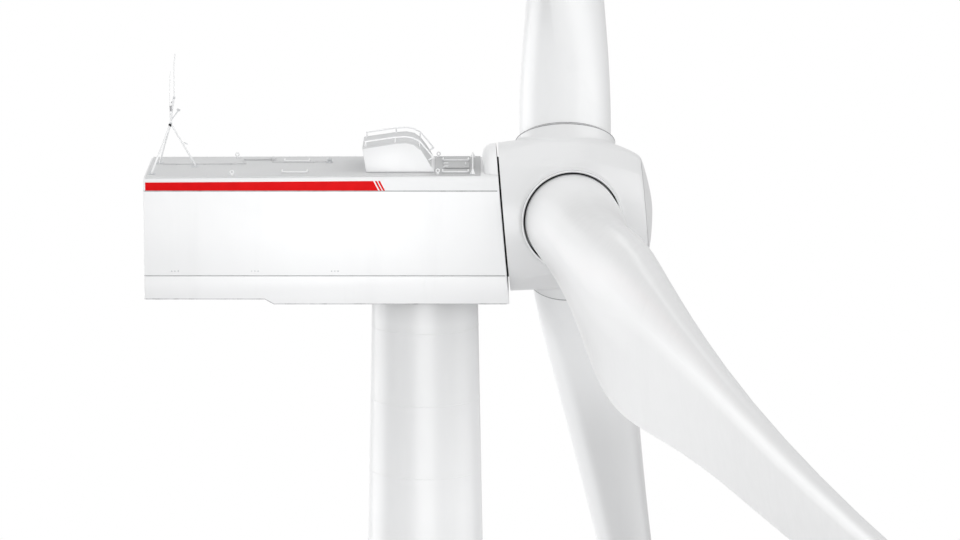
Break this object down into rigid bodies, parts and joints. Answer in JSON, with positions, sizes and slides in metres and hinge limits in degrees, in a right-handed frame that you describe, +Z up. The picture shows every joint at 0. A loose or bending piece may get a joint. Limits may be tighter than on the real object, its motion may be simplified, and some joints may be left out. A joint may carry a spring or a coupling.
{
  "type": "wind turbine nacelle with rotor and tower top, 1:10 scale model",
  "caption": "Wind turbine nacelle with its three-blade rotor and tower top section, as a 1:10 scale model; the nacelle yaws, the rotor spins and each blade pitches.",
  "frame": {"origin": "centre of the tower section's bottom face, on the tower's axis", "axes": "+X toward the rotor's nose, +Y to the nacelle's left side seen from behind it, +Z up along the tower"},
  "size_m": [2.7392, 11.1039, 12.5216],
  "materials": {
    "tower_paint": "semi-gloss light grey-white coating",
    "machined_steel": "machined",
    "black_seal": "matt",
    "sensor_plastic": "matt",
    "grey_deck": "non-slip grey",
    "galvanised_steel": "dull galvanised",
    "clear_lens": "gloss",
    "blade_gelcoat": "satin glass-fibre gelcoat",
    "spinner_gelcoat": "satin glass-fibre gelcoat",
    "painted_rail": "satin",
    "housing_gelcoat": "satin glass-fibre gelcoat"
  },
  "bodies": {
    "tower": {"tower_base_flange": "machined_steel", "tower_can_1": "tower_paint", "tower_can_2": "tower_paint", "tower_can_3": "tower_paint", "tower_can_4": "tower_paint", "tower_can_5": "tower_paint", "tower_can_6": "tower_paint", "yaw_bearing": "machined_steel"},
    "nacelle": {"belly_tray": "housing_gelcoat", "cooling_hood": "housing_gelcoat", "front_collar": "housing_gelcoat", "hood_grille": "galvanised_steel", "hood_rail_left": "painted_rail", "hood_rail_right": "painted_rail", "lifting_eye_1": "galvanised_steel", "lifting_eye_2": "galvanised_steel", "lifting_eye_3": "galvanised_steel", "lifting_eye_4": "galvanised_steel", "lightning_rod": "galvanised_steel", "main_bearing": "machined_steel", "main_housing": "housing_gelcoat", "obstruction_light": "clear_lens", "roof_deck": "grey_deck", "roof_hatch": "grey_deck", "roof_rail_front_left": "galvanised_steel", "roof_rail_front_right": "galvanised_steel", "roof_rail_rear_left": "galvanised_steel", "roof_rail_rear_right": "galvanised_steel", "roof_shell": "housing_gelcoat", "sensor_mast": "painted_rail", "wind_sensor_1": "sensor_plastic", "wind_sensor_2": "sensor_plastic"},
    "rotor": {"main_shaft": "machined_steel", "shaft_seal_drum": "black_seal", "spinner_shell": "spinner_gelcoat", "spinner_nose": "spinner_gelcoat", "pitch_bearing_1": "machined_steel", "pitch_bearing_2": "machined_steel", "pitch_bearing_3": "machined_steel"},
    "blade_1": {"blade_1": "blade_gelcoat", "root_seal_1": "black_seal"},
    "blade_2": {"blade_2": "blade_gelcoat", "root_seal_2": "black_seal"},
    "blade_3": {"blade_3": "blade_gelcoat", "root_seal_3": "black_seal"}
  },
  "joints": [
    {"name": "nacelle_yaw", "type": "hinge", "parent": "tower", "child": "nacelle", "pos_m": [0, 0, 1.315], "axis": [0, 0, 1], "continuous": true},
    {"name": "rotor_spin", "type": "hinge", "parent": "nacelle", "child": "rotor", "pos_m": [0.44, 0, 1.522], "axis": [0.9962, 0, 0.0872], "continuous": true},
    {"name": "blade_1_pitch", "type": "hinge", "parent": "rotor", "child": "blade_1", "pos_m": [0.44, 0, 1.522], "axis": [-0.0708, 0.9966, -0.0411], "range_deg": [0, 90]},
    {"name": "blade_2_pitch", "type": "hinge", "parent": "rotor", "child": "blade_2", "pos_m": [0.44, 0, 1.522], "axis": [-0.0001, -0.5285, -0.849], "range_deg": [0, 90]},
    {"name": "blade_3_pitch", "type": "hinge", "parent": "rotor", "child": "blade_3", "pos_m": [0.44, 0, 1.522], "axis": [-0.1506, -0.4682, 0.8707], "range_deg": [0, 90]}
  ]
}
